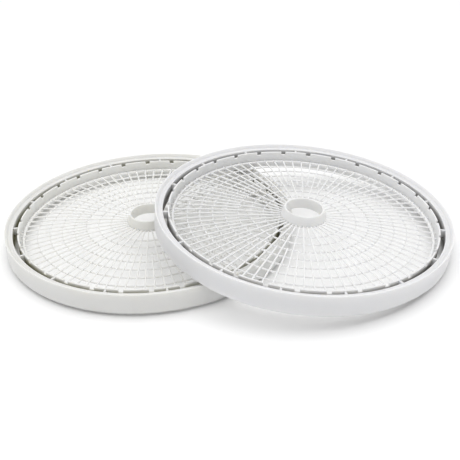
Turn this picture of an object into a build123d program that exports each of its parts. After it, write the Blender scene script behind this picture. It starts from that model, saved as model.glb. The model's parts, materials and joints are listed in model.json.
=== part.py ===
from build123d import *
from math import asin, cos, degrees, sin
import os

# Two round stackable dehydrator trays, one leaning on the other.  Millimetres, +Z up.
# The origin is on the floor, under the middle of the pair.  +X runs from the centre of the
# lower tray, which lies flat, to the centre of the leaning tray, whose far edge is on the floor.

# ---- driving dimensions -------------------------------------------------------------------
TRAY_RADIUS = 171.5        # outside of the outer wall (343 mm across)
OUTER_WALL_HEIGHT = 23.9   # the outer wall, lower edge to lip
NEST_DEPTH = 4.5           # how far the inner skirt reaches below the outer wall
NEST_CLEARANCE = 0.5       # the skirt's foot to the lip of the tray below, on the radius
WALL = 2.2                 # moulded wall thickness
FOOT_WALL = 1.6
LIP_WIDTH = 1.3            # flat top of the outer wall
LIP_FOOT = 3.9             # the lip's thickness where it slopes down to the ledge
STEP_DEPTH = 3.6           # lip down to the stacking ledge
GROOVE_RADIUS = 164.5      # shallow groove that marks the ledge off from the skirt's top
GROOVE_DEPTH = 0.4
CHANNEL_OUTER = 162.4      # air channel between the skirt and the basket wall
CHANNEL_INNER = 156.9
EDGE_RADIUS = 0.6

RIB_COUNT = 15             # ribs that bridge the air channel
RIB_WIDTH = 2.6
RIB_HEIGHT = 9.0
RIB_DROP = 0.7             # rib tops below the ledge
NOTCH_COUNT = 30           # air notches in the top of the basket wall
NOTCH_WIDTH = 5.5
NOTCH_DEPTH = 3.5

BASKET_WALL_INNER = 154.7
BASKET_WALL_FOOT = 4.5     # lower edge of the basket wall

CROWN_START = 30.0         # the grid is level out to here, then falls away on an arc
CROWN_TOP = 21.8
CROWN_RADIUS = 960.0
SPOKE_COUNT = 40           # spokes that reach the hub; as many again start further out
SPOKE_WIDTH = 1.8
SPOKE_DEPTH = 1.5
RING_COUNT = 7
RING_FIRST = 46.6          # mean radius of the innermost ring
RING_PITCH = 14.6
RING_WIDTH = 1.8
RING_DEPTH = 1.4
SHORT_SPOKE_RING = 3       # the extra spokes start on this ring
GRID_RIM_INNER = 149.4     # the band that closes the grid, just inside the basket wall
GRID_RIM_OUTER = 152.0
GRID_RIM_DEPTH = 3.0

HUB_BORE = 20.2
HUB_MOUTH = 21.2           # bore radius at the top of the collar
HUB_TOP_RADIUS = 22.9
HUB_FOOT_RADIUS = 26.0
HUB_TOP = 31.7
HUB_BOTTOM = 19.2

TRAY_SPACING = 183.3       # centre to centre, at the lower edges of the skirts
REST_GAP = 0.15            # clearance where the leaning tray bears on the lower one
LOWER_TRAY_TURN = 3.7      # each tray's turn about its own axis, degrees
LEANING_TRAY_TURN = -19.7

# ---- worked out from the above -----------------------------------------------------------
LIP_TOP = NEST_DEPTH + OUTER_WALL_HEIGHT
LEDGE_TOP = LIP_TOP - STEP_DEPTH
LIP_INNER = TRAY_RADIUS - LIP_FOOT
SKIRT_OUTER = CHANNEL_OUTER + WALL
FOOT_OUTER = LIP_INNER - NEST_CLEARANCE
FOOT_INNER = FOOT_OUTER - FOOT_WALL
RING_RADII = [RING_FIRST + RING_PITCH * k for k in range(RING_COUNT)]
# The skirt of the leaning tray crosses the lip of the lower tray at this distance from the
# leaning tray's centre, measured towards the lower tray.
BEARING = (FOOT_INNER**2 + TRAY_SPACING**2 - TRAY_RADIUS**2) / (2 * TRAY_SPACING)
TILT = asin((LIP_TOP + REST_GAP) / (FOOT_OUTER + BEARING))
LEANING_TRAY_HEIGHT = FOOT_OUTER * sin(TILT)
FAR_EDGE = ((TRAY_RADIUS - EDGE_RADIUS) * cos(TILT) + (LIP_TOP - EDGE_RADIUS) * sin(TILT)
            + EDGE_RADIUS)
LOWER_TRAY_X = -(TRAY_SPACING + FAR_EDGE - TRAY_RADIUS) / 2
LEANING_TRAY_X = LOWER_TRAY_X + TRAY_SPACING


# ---- helpers -------------------------------------------------------------------------------
def turned(points, rounded=()):
    """Revolve a closed outline of (radius, height) points; rounded picks corners to round."""
    face = make_face(Polyline(*points, close=True)).face()
    for index, radius in rounded:
        corner = face.vertices().sort_by_distance(Vector(*points[index]))[0]
        face = fillet(corner, radius).face()
    return revolve(Plane.XZ * face, Axis.Z, 360)


def around(shape, count, start=0.0):
    """Copies of one solid at equal angles about Z."""
    return [Rot(0, 0, start + 360 / count * k) * shape for k in range(count)]


def flat_end(radius, width):
    """How far out a bar of this width goes for its end corners to touch a circle."""
    return (radius**2 - width**2 / 4)**0.5


def crown(radius, below=0.0):
    """Height of the crowned grid at a radius, on the arc that lies a given depth below it."""
    out = max(radius - CROWN_START, 0.0)
    return CROWN_TOP - CROWN_RADIUS + ((CROWN_RADIUS - below)**2 - out**2)**0.5


# ---- the rim -------------------------------------------------------------------------------
def outer_wall():
    points = [
        (TRAY_RADIUS, NEST_DEPTH),
        (TRAY_RADIUS, LIP_TOP),
        (TRAY_RADIUS - LIP_WIDTH, LIP_TOP),
        (LIP_INNER, LEDGE_TOP),
        (LIP_INNER, LEDGE_TOP - WALL),
        (TRAY_RADIUS - WALL, LEDGE_TOP - 2 * WALL),
        (TRAY_RADIUS - WALL, NEST_DEPTH),
    ]
    return turned(points, [(0, 0.6), (1, EDGE_RADIUS), (2, 0.4)])


def stacking_ledge():
    points = [
        (LIP_INNER, LEDGE_TOP - WALL),
        (LIP_INNER, LEDGE_TOP),
        (GROOVE_RADIUS + GROOVE_DEPTH, LEDGE_TOP),
        (GROOVE_RADIUS, LEDGE_TOP - GROOVE_DEPTH),
        (GROOVE_RADIUS - GROOVE_DEPTH, LEDGE_TOP),
        (CHANNEL_OUTER, LEDGE_TOP),
        (CHANNEL_OUTER, LEDGE_TOP - WALL),
    ]
    return turned(points, [(5, 0.6)])


def nesting_skirt():
    """The inner wall of the rim; its foot steps out to fit inside the lip of the tray below."""
    step = FOOT_OUTER - SKIRT_OUTER
    inside = NEST_DEPTH - 0.4 * WALL
    points = [
        (FOOT_OUTER, 0.0),
        (FOOT_OUTER, NEST_DEPTH),
        (SKIRT_OUTER, NEST_DEPTH + step),
        (SKIRT_OUTER, LEDGE_TOP - WALL),
        (CHANNEL_OUTER, LEDGE_TOP - WALL),
        (CHANNEL_OUTER, inside + FOOT_INNER - CHANNEL_OUTER),
        (FOOT_INNER, inside),
        (FOOT_INNER, 0.0),
    ]
    return turned(points, [(0, 0.4), (7, 0.4)])


def channel_ribs():
    length = flat_end(CHANNEL_OUTER, RIB_WIDTH) - CHANNEL_INNER
    rib = Box(length, RIB_WIDTH, RIB_HEIGHT, align=(Align.MIN, Align.CENTER, Align.MAX))
    rib = fillet(rib.edges().filter_by(Axis.X).group_by(Axis.Z)[-1], 0.5)
    return around(Pos(CHANNEL_INNER, 0, LEDGE_TOP - RIB_DROP) * rib, RIB_COUNT)


# ---- the basket ----------------------------------------------------------------------------
def basket_wall():
    points = [
        (CHANNEL_INNER, BASKET_WALL_FOOT),
        (CHANNEL_INNER, LEDGE_TOP),
        (BASKET_WALL_INNER, LEDGE_TOP),
        (BASKET_WALL_INNER, BASKET_WALL_FOOT),
    ]
    ring = turned(points, [(1, 0.5), (2, 0.5)])
    middle = (CHANNEL_INNER + BASKET_WALL_INNER) / 2
    notch = Box(6, NOTCH_WIDTH, 2 * NOTCH_DEPTH)
    half_rib_pitch = 180 / NOTCH_COUNT
    notches = around(Pos(middle, 0, LEDGE_TOP) * notch, NOTCH_COUNT, half_rib_pitch)
    return ring - notches


def grid_rim():
    top = crown(GRID_RIM_INNER)
    points = [
        (GRID_RIM_OUTER, top - GRID_RIM_DEPTH),
        (GRID_RIM_OUTER, top),
        (GRID_RIM_INNER, top),
        (GRID_RIM_INNER, top - GRID_RIM_DEPTH),
    ]
    return turned(points)


def rim_ties():
    """Short bars that carry the band from the basket wall, one in line with each spoke."""
    length = flat_end(BASKET_WALL_INNER, SPOKE_WIDTH) - GRID_RIM_OUTER
    tie = Box(length, SPOKE_WIDTH, SPOKE_DEPTH, align=(Align.MIN, Align.CENTER, Align.MAX))
    return around(Pos(GRID_RIM_OUTER, 0, crown(GRID_RIM_INNER)) * tie, 2 * SPOKE_COUNT)


def spoke(start):
    """One crowned bar along +X from a start radius to the band at the grid's edge."""
    end = flat_end(GRID_RIM_INNER, SPOKE_WIDTH)
    bend = max(start, CROWN_START)
    stations = (bend, (bend + end) / 2, end)
    top = [(r, crown(r)) for r in stations]
    bottom = [(r, crown(r, SPOKE_DEPTH)) for r in stations]
    inner_end = [bottom[0], top[0]]
    if start < bend:
        inner_end[1:1] = [(start, bottom[0][1]), (start, top[0][1])]
    outline = [
        ThreePointArc(*top),
        Line(top[2], bottom[2]),
        ThreePointArc(*reversed(bottom)),
        Polyline(*inner_end),
    ]
    side = make_face(outline).face()
    return extrude(Plane.XZ * side, SPOKE_WIDTH / 2, both=True)


def long_spokes():
    return around(spoke(HUB_FOOT_RADIUS), SPOKE_COUNT)


def short_spokes():
    start = RING_RADII[SHORT_SPOKE_RING - 1] - RING_WIDTH / 2
    return around(spoke(start), SPOKE_COUNT, 180 / SPOKE_COUNT)


def grid_ring(radius):
    """A ring under the spokes: its top lies on the arc of their undersides."""
    inner, outer = radius - RING_WIDTH / 2, radius + RING_WIDTH / 2
    top_in, top_out = crown(inner, SPOKE_DEPTH), crown(outer, SPOKE_DEPTH)
    foot = crown(radius, SPOKE_DEPTH) - RING_DEPTH
    return turned([(inner, foot), (inner, top_in), (outer, top_out), (outer, foot)])


# ---- the hub -------------------------------------------------------------------------------
def hub_foot():
    points = [
        (HUB_BORE, HUB_BOTTOM),
        (HUB_FOOT_RADIUS, HUB_BOTTOM),
        (HUB_FOOT_RADIUS, CROWN_TOP),
        (HUB_BORE, CROWN_TOP),
    ]
    return turned(points, [(0, 0.4)])


def hub_collar():
    points = [
        (HUB_BORE, CROWN_TOP),
        (HUB_FOOT_RADIUS, CROWN_TOP),
        (HUB_TOP_RADIUS, HUB_TOP),
        (HUB_MOUTH, HUB_TOP),
    ]
    return turned(points, [(2, 0.7), (3, 0.6)])


# ---- one tray ------------------------------------------------------------------------------
def tray_features():
    """Every feature of one tray, as (name, list of solids), on the tray's own axis."""
    features = [
        ("outer_wall", [outer_wall()]),
        ("stacking_ledge", [stacking_ledge()]),
        ("nesting_skirt", [nesting_skirt()]),
        ("channel_ribs", channel_ribs()),
        ("basket_wall", [basket_wall()]),
        ("grid_rim", [grid_rim()]),
        ("rim_ties", rim_ties()),
        ("long_spokes", long_spokes()),
        ("short_spokes", short_spokes()),
        ("hub_foot", [hub_foot()]),
        ("hub_collar", [hub_collar()]),
    ]
    for number, radius in enumerate(RING_RADII, start=1):
        features.append((f"grid_ring_{number}", [grid_ring(radius)]))
    return features


def write_tray(prefix, place):
    for name, solids in tray_features():
        placed = [place * solid for solid in solids]
        shape = placed[0] if len(placed) == 1 else Compound(children=placed)
        shape.label = f"{prefix}_{name}"
        export_step(shape, f"parts/{prefix}_{name}.step")


lower_place = Pos(LOWER_TRAY_X, 0, 0) * Rot(0, 0, LOWER_TRAY_TURN)
leaning_place = (Pos(LEANING_TRAY_X, 0, LEANING_TRAY_HEIGHT) * Rot(0, degrees(TILT), 0)
                 * Rot(0, 0, LEANING_TRAY_TURN))

os.makedirs("parts", exist_ok=True)
write_tray("lower", lower_place)
write_tray("leaning", leaning_place)
print(f"tilt {degrees(TILT):.2f} deg, lower x {LOWER_TRAY_X:.2f}, leaning x {LEANING_TRAY_X:.2f}, "
      f"leaning z {LEANING_TRAY_HEIGHT:.2f}")
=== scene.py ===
import json
import math

import bmesh
import bpy
from mathutils import Matrix, Vector


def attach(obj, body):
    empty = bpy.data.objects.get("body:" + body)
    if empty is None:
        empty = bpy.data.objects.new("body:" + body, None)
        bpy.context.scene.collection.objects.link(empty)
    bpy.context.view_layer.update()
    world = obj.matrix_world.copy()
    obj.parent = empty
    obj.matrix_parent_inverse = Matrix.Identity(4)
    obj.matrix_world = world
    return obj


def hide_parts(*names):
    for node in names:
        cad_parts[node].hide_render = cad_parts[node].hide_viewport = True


# Two round white dehydrator trays, one leaning on the other.  Profiles are in millimetres on
# each tray's own axis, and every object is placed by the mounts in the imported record.
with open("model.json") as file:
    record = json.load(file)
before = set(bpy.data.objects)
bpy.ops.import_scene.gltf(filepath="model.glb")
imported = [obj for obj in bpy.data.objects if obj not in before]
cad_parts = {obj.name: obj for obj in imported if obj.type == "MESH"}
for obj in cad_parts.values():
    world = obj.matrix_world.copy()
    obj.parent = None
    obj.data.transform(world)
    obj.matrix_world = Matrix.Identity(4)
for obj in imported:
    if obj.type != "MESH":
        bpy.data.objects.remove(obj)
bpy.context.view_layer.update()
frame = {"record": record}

MM = 0.001
TAU = 2 * math.pi

# ---- the trays' own dimensions, millimetres -------------------------------------------------
LIP_TOP, LEDGE_TOP, NEST_DEPTH, WALL = 28.4, 24.8, 4.5, 2.2
TRAY_RADIUS, LIP_EDGE, LIP_INNER, GROOVE = 171.5, 170.2, 167.6, 164.5
CHANNEL_OUTER, CHANNEL_INNER = 162.4, 156.9
SKIRT_OUTER, FOOT_OUTER, FOOT_INNER = 164.6, 167.1, 165.5
LEDGE_MOUNT = (0.0, 166.2, LEDGE_TOP)    # where the record puts the leaning tray's ledge mount

# Painted shade: the air channel's sides are painted darker from here down, over this depth, and
# stay dark to their feet, so the painted shade also shows from below.
PAINTED_SHADE_TOP, PAINTED_SHADE_FADE = 23.2, 7.0

RIB_COUNT, RIB_WIDTH, RIB_HEIGHT, RIB_TOP = 15, 2.6, 9.0, 24.1
NOTCH_COUNT, NOTCH_WIDTH, NOTCH_DEPTH, NOTCH_CORNER = 30, 5.5, 3.5, 0.5
BASKET_INNER, BASKET_FOOT = 154.7, 4.5
GRID_RIM_INNER, GRID_RIM_OUTER, GRID_RIM_DEPTH = 149.4, 152.0, 3.0

CROWN_START, CROWN_TOP, CROWN_RADIUS = 30.0, 21.8, 960.0
SPOKE_COUNT, SPOKE_WIDTH, SPOKE_DEPTH = 40, 1.8, 1.5
RING_FIRST, RING_PITCH, RING_COUNT, RING_WIDTH, RING_DEPTH = 46.6, 14.6, 7, 1.8, 1.4
SHORT_SPOKE_START = RING_FIRST + 2 * RING_PITCH

HUB_BORE, HUB_MOUTH, HUB_TOP_RADIUS, HUB_FOOT_RADIUS = 20.2, 21.2, 22.9, 26.0
HUB_TOP, HUB_BOTTOM = 31.7, 19.2

TURN = {"lower": 3.7, "leaning": -19.7}  # each tray's turn about its own axis, degrees

RIM_SEGMENTS, RING_SEGMENTS, HUB_SEGMENTS = 360, 240, 160
SHARP_ANGLE = math.radians(32)           # edges that turn by more than this stay crisp

# ---- plastic: (light, dark, painted shade deep in the channel) for each tray -----------------
RIM_TONES = {
    "lower": ((0.765, 0.763, 0.745), (0.735, 0.732, 0.71), (0.20, 0.19, 0.07)),
    "leaning": ((0.78, 0.78, 0.785), (0.75, 0.75, 0.76), (0.20, 0.19, 0.18)),
}
# Painted light: the basket wall, grid, spokes, rings and hub get lighter tones than the rim,
# though they are the same plastic.
BASKET_TONES = {
    "lower": ((0.82, 0.818, 0.795), (0.79, 0.787, 0.758), (0.20, 0.19, 0.07)),
    "leaning": ((0.83, 0.83, 0.827), (0.80, 0.80, 0.80), (0.20, 0.19, 0.18)),
}

# ---- camera, metres --------------------------------------------------------------------------
EYE, AIM = (0.19443, -0.91335, 0.55306), (0.00099, -0.02992, 0.0045)
ROLL_DEGREES, LENS, SHIFT = -2.697, 70.911, (0.01839, 0.04262)


# ---- where each tray stands, from the record ------------------------------------------------
def tray_places():
    """The matrix that carries each tray from its own axis to the shared frame."""
    mounts = {m["name"]: m for m in frame["record"]["mounts"]}
    lower_x, lower_y, _ = mounts["lower_skirt_foot"]["pos_m"]
    ledge = mounts["leaning_stacking_ledge"]
    tilt = math.atan2(ledge["axis"][0], ledge["axis"][2])
    lean = Matrix.Rotation(tilt, 4, "Y")
    origin = Vector(ledge["pos_m"]) - lean @ (Vector(LEDGE_MOUNT) * MM)
    places = {
        "lower": Matrix.Translation((lower_x, lower_y, 0.0)),
        "leaning": Matrix.Translation(origin) @ lean,
    }
    for name, turn in TURN.items():
        places[name] = places[name] @ Matrix.Rotation(math.radians(turn), 4, "Z")
    return places


# ---- mesh helpers ---------------------------------------------------------------------------
def arc_between(centre, start, end, steps):
    """Points on the arc from start to end about centre."""
    u, v = start - centre, end - centre
    turn = u.angle(v)
    if turn < 1e-6:
        return [start]
    points = []
    for k in range(steps + 1):
        s = k / steps
        blend = (math.sin((1 - s) * turn) * u + math.sin(s * turn) * v) / math.sin(turn)
        points.append(centre + blend)
    return points


def rounded(outline, steps=5):
    """A closed outline of (across, up, corner radius) as points, with its corners rounded."""
    corners = [Vector(c[:2]) for c in outline]
    points = []
    for i, corner in enumerate(corners):
        radius = outline[i][2]
        before = corners[i - 1] - corner
        after = corners[(i + 1) % len(corners)] - corner
        half = before.angle(after) / 2
        if radius <= 0 or half > math.pi / 2 - 1e-3:
            points.append(corner)
            continue
        reach = min(radius / math.tan(half), 0.49 * before.length, 0.49 * after.length)
        radius = reach * math.tan(half)
        inward = (before.normalized() + after.normalized()).normalized()
        centre = corner + inward * (radius / math.sin(half))
        start = corner + before.normalized() * reach
        end = corner + after.normalized() * reach
        points.extend(arc_between(centre, start, end, steps))
    return points


def even_angles(count):
    """Angles of so many equal steps round the axis, from 0."""
    return [TAU * k / count for k in range(count)]


def swept_ring(bm, sections):
    """Closed sections, each a list of 3-D points, joined in a closed loop."""
    rows = [[bm.verts.new(p) for p in section] for section in sections]
    join_rows(bm, rows + rows[:1])


def swept_bar(bm, sections):
    """Closed sections joined end to end, with both ends capped."""
    rows = [[bm.verts.new(p) for p in section] for section in sections]
    join_rows(bm, rows)
    bm.faces.new(rows[0])
    bm.faces.new(list(reversed(rows[-1])))


def join_rows(bm, rows):
    """Quads between each row of points and the next."""
    for row, following in zip(rows, rows[1:]):
        for i in range(len(row)):
            j = (i + 1) % len(row)
            bm.faces.new((row[i], following[i], following[j], row[j]))


def turned(profile, angle):
    """A profile of (radius, height) points stood at an angle about the axis, in metres."""
    c, s = math.cos(angle) * MM, math.sin(angle) * MM
    return [(r * c, r * s, z * MM) for r, z in profile]


def lathe(outline, segments, steps=5):
    """A solid of revolution from an outline with rounded corners."""
    profile = rounded(outline, steps)
    bm = bmesh.new()
    swept_ring(bm, [turned(profile, a) for a in even_angles(segments)])
    return bm


def finished_mesh(bm, name):
    """A mesh with outward normals, smooth except across real edges."""
    bmesh.ops.recalc_face_normals(bm, faces=bm.faces)
    mesh = bpy.data.meshes.new(name)
    bm.to_mesh(mesh)
    bm.free()
    mesh.shade_smooth()
    mesh.set_sharp_from_angle(angle=SHARP_ANGLE)
    return mesh


def paint_channel_shade(mesh):
    """Store how deep each point lies in the air channel, from 0 at its mouth to 1, as the mask
    for the painted shade there.
    """
    depth = mesh.attributes.new("painted_shade_depth", "FLOAT", "POINT")
    for i, vertex in enumerate(mesh.vertices):
        x, y, z = vertex.co / MM
        inside = BASKET_INNER + 1.2 < math.hypot(x, y) < FOOT_INNER + 0.4
        below = (PAINTED_SHADE_TOP - z) / PAINTED_SHADE_FADE
        depth.data[i].value = min(max(below, 0.0), 1.0) if inside else 0.0


# ---- the rim: one moulded section all round -------------------------------------------------
def rim_shell():
    """The outer wall, the ledge and the skirt as one section, (radius, height, corner)."""
    outline = [
        (TRAY_RADIUS - 0.4, NEST_DEPTH, 0.7),
        (TRAY_RADIUS, LIP_TOP, 1.0),
        (LIP_EDGE, LIP_TOP, 0.9),
        (LIP_INNER, LEDGE_TOP, 0.3),
        (GROOVE + 0.5, LEDGE_TOP, 0.3),
        (GROOVE, LEDGE_TOP - 0.4, 0.15),
        (GROOVE - 0.5, LEDGE_TOP, 0.3),
        (CHANNEL_OUTER, LEDGE_TOP, 0.7),
        # straight-line points where the painted shade in the channel starts and reaches full
        # dark
        (CHANNEL_OUTER, PAINTED_SHADE_TOP, 0),
        (CHANNEL_OUTER, PAINTED_SHADE_TOP - PAINTED_SHADE_FADE, 0),
        (CHANNEL_OUTER, NEST_DEPTH + WALL, 1.2),
        (FOOT_INNER, NEST_DEPTH - 0.9, 1.2),
        (FOOT_INNER, 0.0, 0.4),
        (FOOT_OUTER, 0.0, 0.4),
        (FOOT_OUTER, NEST_DEPTH, 0.8),
        (SKIRT_OUTER, NEST_DEPTH + 2.5, 0.8),
        (SKIRT_OUTER, LEDGE_TOP - WALL, 0.8),
        (LIP_INNER, LEDGE_TOP - WALL, 0.5),
        (TRAY_RADIUS - WALL, LEDGE_TOP - 2 * WALL, 0.8),
        (TRAY_RADIUS - WALL, NEST_DEPTH, 0.5),
    ]
    mesh = finished_mesh(lathe(outline, RIM_SEGMENTS), "rim_shell")
    # painted shade on the channel's sides
    paint_channel_shade(mesh)
    return mesh


def channel_ribs():
    """Short drafted bars that bridge the air channel."""
    half, foot = RIB_WIDTH / 2, RIB_TOP - RIB_HEIGHT
    section = rounded([(-half - 0.15, foot, 0.3), (-half, RIB_TOP, 0.6),
                       (half, RIB_TOP, 0.6), (half + 0.15, foot, 0.3)], 4)
    reach = (CHANNEL_INNER - 0.4, CHANNEL_OUTER + 0.4)
    sections = [[Vector((r, y, z)) * MM for y, z in section] for r in reach]
    return bars("channel_ribs", sections, RIB_COUNT, 0.0)


# ---- the basket -----------------------------------------------------------------------------
def notch_drop(angle):
    """How far the top of the basket wall is cut down at an angle."""
    pitch = TAU / NOTCH_COUNT
    off = abs((angle % pitch) - pitch / 2) * CHANNEL_INNER - NOTCH_WIDTH / 2
    if off >= NOTCH_CORNER:
        return 0.0
    if off <= -NOTCH_CORNER:
        return NOTCH_DEPTH
    rise = NOTCH_CORNER - math.sqrt(NOTCH_CORNER**2 - (NOTCH_CORNER - abs(off))**2)
    return rise if off >= 0 else NOTCH_DEPTH - rise


def notch_angles():
    """Stations round the basket wall, closer together at the edges of each notch."""
    pitch = TAU / NOTCH_COUNT
    near = [0.5, 0.33, 0.17, 0.06, 0.001, -0.001, -0.06, -0.17, -0.33, -0.5]
    offsets = [(NOTCH_WIDTH / 2 + 2 * NOTCH_CORNER * n) / CHANNEL_INNER for n in near]
    half_notch = [0.0, 0.35 * offsets[-1], 0.7 * offsets[-1]] + offsets[::-1]
    plain = [offsets[0] + (pitch / 2 - offsets[0]) * k / 5 for k in range(1, 5)]
    one_side = half_notch + plain
    around = sorted([-o for o in one_side if o > 0] + one_side + [pitch / 2])
    return [pitch * (k + 0.5) + o for k in range(NOTCH_COUNT) for o in around]


def basket_wall():
    """The wall round the basket, with its air notches."""
    profile = rounded([
        (CHANNEL_INNER, BASKET_FOOT, 0.5),
        # straight-line points where the painted shade in the channel starts and reaches full
        # dark
        (CHANNEL_INNER, PAINTED_SHADE_TOP - PAINTED_SHADE_FADE, 0),
        (CHANNEL_INNER, PAINTED_SHADE_TOP, 0),
        (CHANNEL_INNER, LEDGE_TOP, 0.6),
        (BASKET_INNER + 0.2, LEDGE_TOP, 0.6),
        (BASKET_INNER - 0.1, BASKET_FOOT, 0.5),
    ], 4)

    def cut(angle):
        drop = notch_drop(angle)
        return [(r, z - drop if z > LEDGE_TOP - 2 else z) for r, z in profile]

    bm = bmesh.new()
    swept_ring(bm, [turned(cut(a), a) for a in notch_angles()])
    mesh = finished_mesh(bm, "basket_wall")
    # painted shade on the channel's sides
    paint_channel_shade(mesh)
    return mesh


def grid_rim():
    """The band that closes the grid, just inside the basket wall."""
    top = crown(GRID_RIM_INNER)
    outline = [
        (GRID_RIM_INNER + 0.15, top - GRID_RIM_DEPTH, 0.4),
        (GRID_RIM_OUTER - 0.15, top - GRID_RIM_DEPTH, 0.4),
        (GRID_RIM_OUTER, top, 0.5),
        (GRID_RIM_INNER, top, 0.5),
    ]
    return finished_mesh(lathe(outline, RIM_SEGMENTS, 4), "grid_rim")


def crown(radius):
    """Height of the crowned grid at a radius: level in the middle, then on a long arc."""
    out = max(radius - CROWN_START, 0.0)
    return CROWN_TOP - CROWN_RADIUS + math.sqrt(CROWN_RADIUS**2 - out**2)


def spoke_sections(start, end, stations):
    """Sections of one crowned bar along +X, square to the crown."""
    half = SPOKE_WIDTH / 2
    section = rounded([(-half, -SPOKE_DEPTH, 0.2), (-half + 0.1, 0.0, 0.5),
                       (half - 0.1, 0.0, 0.5), (half, -SPOKE_DEPTH, 0.2)], 3)
    sections = []
    for k in range(stations + 1):
        r = start + (end - start) * k / stations
        lean = math.asin(max(r - CROWN_START, 0.0) / CROWN_RADIUS)
        sections.append([Vector((r + z * math.sin(lean), y, crown(r) + z * math.cos(lean))) * MM
                         for y, z in section])
    return sections


def bars(name, sections, count, first):
    """Copies of one bar at equal angles about the axis."""
    bm = bmesh.new()
    for angle in even_angles(count):
        turn = Matrix.Rotation(angle + first, 3, "Z")
        swept_bar(bm, [[turn @ p for p in section] for section in sections])
    return finished_mesh(bm, name)


def spokes(name, start, stations, first):
    """One set of spokes, let into the band at the grid's edge."""
    sections = spoke_sections(start, GRID_RIM_INNER + 0.7, stations)
    return bars(name, sections, SPOKE_COUNT, first)


def rim_ties():
    """The spokes' outer ends, which carry the band from the basket wall."""
    sections = spoke_sections(GRID_RIM_OUTER - 0.7, BASKET_INNER + 0.5, 1)
    return bars("rim_ties", sections, 2 * SPOKE_COUNT, 0.0)


def grid_ring(number):
    """One ring under the spokes, let into their undersides."""
    radius = RING_FIRST + RING_PITCH * (number - 1)
    half, top = RING_WIDTH / 2, crown(radius) - SPOKE_DEPTH
    outline = [
        (radius - half + 0.25, top - RING_DEPTH, 0.5),
        (radius + half - 0.25, top - RING_DEPTH, 0.5),
        (radius + half, top + 0.5, 0.8),
        (radius - half, top + 0.5, 0.8),
    ]
    return finished_mesh(lathe(outline, RING_SEGMENTS, 3), f"grid_ring_{number}")


# ---- the hub --------------------------------------------------------------------------------
def hub():
    """The foot and the collar round the centre air hole."""
    outline = [
        (HUB_BORE, HUB_BOTTOM, 0.5),
        (HUB_FOOT_RADIUS, HUB_BOTTOM, 0.6),
        (HUB_FOOT_RADIUS, CROWN_TOP, 0.8),
        (HUB_TOP_RADIUS + 0.3, HUB_TOP - 1.6, 1.5),
        (HUB_TOP_RADIUS, HUB_TOP, 0.8),
        (HUB_MOUTH, HUB_TOP, 0.7),
        (HUB_BORE, CROWN_TOP, 1.0),
    ]
    return finished_mesh(lathe(outline, HUB_SEGMENTS), "hub")


# ---- materials ------------------------------------------------------------------------------
def noise(tree, place, scale, detail):
    """The output of a noise texture on the piece's own coordinates."""
    node = tree.nodes.new("ShaderNodeTexNoise")
    node.inputs["Scale"].default_value = scale
    node.inputs["Detail"].default_value = detail
    tree.links.new(place.outputs["Object"], node.inputs["Vector"])
    return node.outputs["Fac"]


def span(tree, value, low, high):
    """A noise value spread over a range."""
    node = tree.nodes.new("ShaderNodeMapRange")
    node.inputs["From Min"].default_value = 0.3
    node.inputs["From Max"].default_value = 0.7
    node.inputs["To Min"].default_value = low
    node.inputs["To Max"].default_value = high
    tree.links.new(value, node.inputs["Value"])
    return node.outputs["Result"]


def clouded(tree, value, light, dark):
    """A colour that drifts between two tones with a noise value."""
    tone = tree.nodes.new("ShaderNodeValToRGB")
    for element, position, colour in zip(tone.color_ramp.elements, (0.3, 0.7), (dark, light)):
        element.position = position
        element.color = (*colour, 1)
    tree.links.new(value, tone.inputs["Fac"])
    return tone.outputs["Color"]


def mixed(tree, factor, first, second, blend="MIX"):
    """A colour output mixed with a fixed colour by a factor output."""
    node = tree.nodes.new("ShaderNodeMix")
    node.data_type = "RGBA"
    node.blend_type = blend
    node.inputs["B"].default_value = (*second, 1)
    tree.links.new(factor, node.inputs["Factor"])
    tree.links.new(first, node.inputs["A"])
    return node.outputs["Result"]


def bump(tree, height, strength, distance):
    """A bump node driven by a height output."""
    node = tree.nodes.new("ShaderNodeBump")
    node.inputs["Strength"].default_value = strength
    node.inputs["Distance"].default_value = distance
    tree.links.new(height, node.inputs["Height"])
    return node


def moulded_plastic(name, light, dark, painted_channel_shade, grain, roughness):
    """White polypropylene: faint cloudiness, a spark-eroded grain, an uneven satin, and painted
    shade deep in the air channel.
    """
    material = bpy.data.materials.new(name)
    material.use_nodes = True
    tree = material.node_tree
    shader = tree.nodes["Principled BSDF"]
    shader.inputs["IOR"].default_value = 1.49
    shader.inputs["Subsurface Weight"].default_value = 0.8
    shader.inputs["Subsurface Radius"].default_value = (1.0, 0.97, 0.9)
    shader.inputs["Subsurface Scale"].default_value = 0.004
    place = tree.nodes.new("ShaderNodeTexCoord")

    clouds = clouded(tree, noise(tree, place, 14.0, 3.0), light, dark)
    specks = span(tree, noise(tree, place, 1500.0, 2.0), 0.0, 1.0)
    speckled = mixed(tree, specks, clouds, (0.965, 0.965, 0.965), "MULTIPLY")
    # Painted shade: the base colour is mixed towards a dark tone with depth in the air channel.
    depth = tree.nodes.new("ShaderNodeAttribute")
    depth.attribute_name = "painted_shade_depth"
    shaded = mixed(tree, depth.outputs["Fac"], speckled, painted_channel_shade)
    tree.links.new(shaded, shader.inputs["Base Color"])

    satin = span(tree, noise(tree, place, 55.0, 4.0), roughness - 0.05, roughness + 0.06)
    tree.links.new(satin, shader.inputs["Roughness"])

    sink = bump(tree, noise(tree, place, 22.0, 2.0), 0.3, 0.0006)
    spark = bump(tree, noise(tree, place, 1900.0, 3.0), grain, 0.00012)
    tree.links.new(sink.outputs["Normal"], spark.inputs["Normal"])
    tree.links.new(spark.outputs["Normal"], shader.inputs["Normal"])
    return material


def floor_material():
    """A plain pale matt floor."""
    material = bpy.data.materials.new("pale_floor")
    material.use_nodes = True
    shader = material.node_tree.nodes["Principled BSDF"]
    shader.inputs["Base Color"].default_value = (0.97, 0.97, 0.97, 1)
    shader.inputs["Roughness"].default_value = 0.9
    shader.inputs["Specular IOR Level"].default_value = 0.0
    return material


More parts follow.
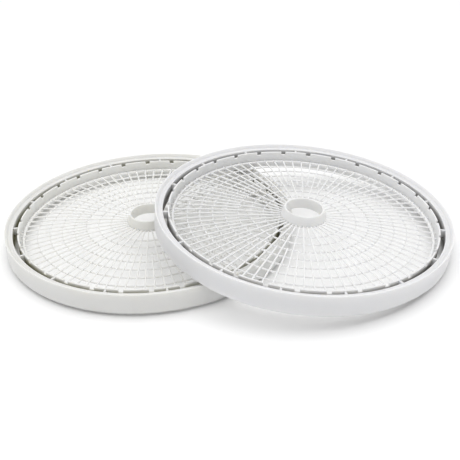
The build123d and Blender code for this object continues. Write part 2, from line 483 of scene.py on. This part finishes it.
# ---- the trays ------------------------------------------------------------------------------
def tray_meshes():
    """(piece, mesh, the CAD nodes it stands for, textured) for one tray on its own axis."""
    long_spokes = spokes("long_spokes", HUB_FOOT_RADIUS - 0.8, 26, 0.0)
    short_spokes = spokes("short_spokes", SHORT_SPOKE_START - 0.6, 16, TAU / SPOKE_COUNT / 2)
    pieces = [
        ("rim_shell", rim_shell(), ["outer_wall", "stacking_ledge", "nesting_skirt"], True),
        ("channel_ribs", channel_ribs(), ["channel_ribs"], True),
        ("basket_wall", basket_wall(), ["basket_wall"], False),
        ("grid_rim", grid_rim(), ["grid_rim"], False),
        ("rim_ties", rim_ties(), ["rim_ties"], False),
        ("long_spokes", long_spokes, ["long_spokes"], False),
        ("short_spokes", short_spokes, ["short_spokes"], False),
        ("air_hub", hub(), ["hub_foot", "hub_collar"], False),
    ]
    for number in range(1, RING_COUNT + 1):
        name = f"grid_ring_{number}"
        pieces.append((name, grid_ring(number), [name], False))
    return pieces


def place_tray(prefix, place, pieces, textured, satin):
    """One tray's pieces at its place, each on its body and standing for its CAD nodes."""
    for name, mesh, nodes, rough in pieces:
        piece = bpy.data.objects.new(f"{prefix}_{name}_visual", mesh.copy())
        bpy.context.scene.collection.objects.link(piece)
        piece.data.transform(place)
        piece.data.materials.append(textured if rough else satin)
        weighted = piece.modifiers.new("even_normals", "WEIGHTED_NORMAL")
        weighted.keep_sharp = True
        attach(piece, f"{prefix}_tray")
        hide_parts(*[f"{prefix}_{node}" for node in nodes])


def build_trays():
    places = tray_places()
    pieces = tray_meshes()
    for prefix, place in places.items():
        textured = moulded_plastic(f"{prefix}_textured_plastic", *RIM_TONES[prefix], 0.55, 0.5)
        # The satin plastic is painted lighter than the textured one; this is painted light on
        # the same plastic.
        satin = moulded_plastic(f"{prefix}_satin_plastic_painted_lighter", *BASKET_TONES[prefix], 0.25, 0.4)
        place_tray(prefix, place, pieces, textured, satin)


# ---- floor, light and camera ----------------------------------------------------------------
def add_floor():
    half = 6.0
    bm = bmesh.new()
    corners = [bm.verts.new((x, y, 0.0)) for x, y in
               ((-half, -half), (half, -half), (half, half), (-half, half))]
    bm.faces.new(corners)
    mesh = bpy.data.meshes.new("floor")
    bm.to_mesh(mesh)
    bm.free()
    mesh.materials.append(floor_material())
    floor = bpy.data.objects.new("floor", mesh)
    bpy.context.scene.collection.objects.link(floor)


def softbox(name, position, size, power, colour=(1, 1, 1)):
    """A square area light aimed at the trays."""
    light = bpy.data.lights.new(name, "AREA")
    light.shape = "SQUARE"
    light.size = size
    light.energy = power
    light.color = colour
    lamp = bpy.data.objects.new(name, light)
    bpy.context.scene.collection.objects.link(lamp)
    lamp.location = position
    aim = Vector((0, 0, 0.02)) - Vector(position)
    lamp.rotation_euler = aim.to_track_quat("-Z", "Y").to_euler()


def add_light():
    world = bpy.data.worlds.new("studio")
    world.use_nodes = True
    sky = world.node_tree.nodes["Background"]
    sky.inputs["Color"].default_value = (1.0, 1.0, 1.0, 1)
    sky.inputs["Strength"].default_value = 0.61
    bpy.context.scene.world = world
    softbox("top_softbox", (0.0, 0.0, 2.2), 2.8, 35.5)
    softbox("front_fill", (0.2, -2.6, 0.7), 1.2, 1.6, (0.85, 0.9, 1.0))
    softbox("left_softbox", (-2.0, 0.3, 0.9), 1.4, 4)
    softbox("right_softbox", (2.0, 0.3, 0.9), 1.4, 3)
    bpy.context.scene.view_settings.view_transform = "Standard"


def add_camera():
    eye, aim = Vector(EYE), Vector(AIM)
    roll = math.radians(ROLL_DEGREES)
    forward = (aim - eye).normalized()
    level = forward.cross(Vector((0, 0, 1))).normalized()
    upright = level.cross(forward)
    right = math.cos(roll) * level + math.sin(roll) * upright
    up = math.cos(roll) * upright - math.sin(roll) * level
    data = bpy.data.cameras.new("camera")
    data.sensor_width = 36.0
    data.lens = LENS
    data.shift_x, data.shift_y = SHIFT
    camera = bpy.data.objects.new("camera", data)
    bpy.context.scene.collection.objects.link(camera)
    turn = Matrix((right, up, -forward)).transposed()
    camera.matrix_world = Matrix.Translation(eye) @ turn.to_4x4()
    bpy.context.scene.camera = camera


build_trays()
add_floor()
add_light()
add_camera()
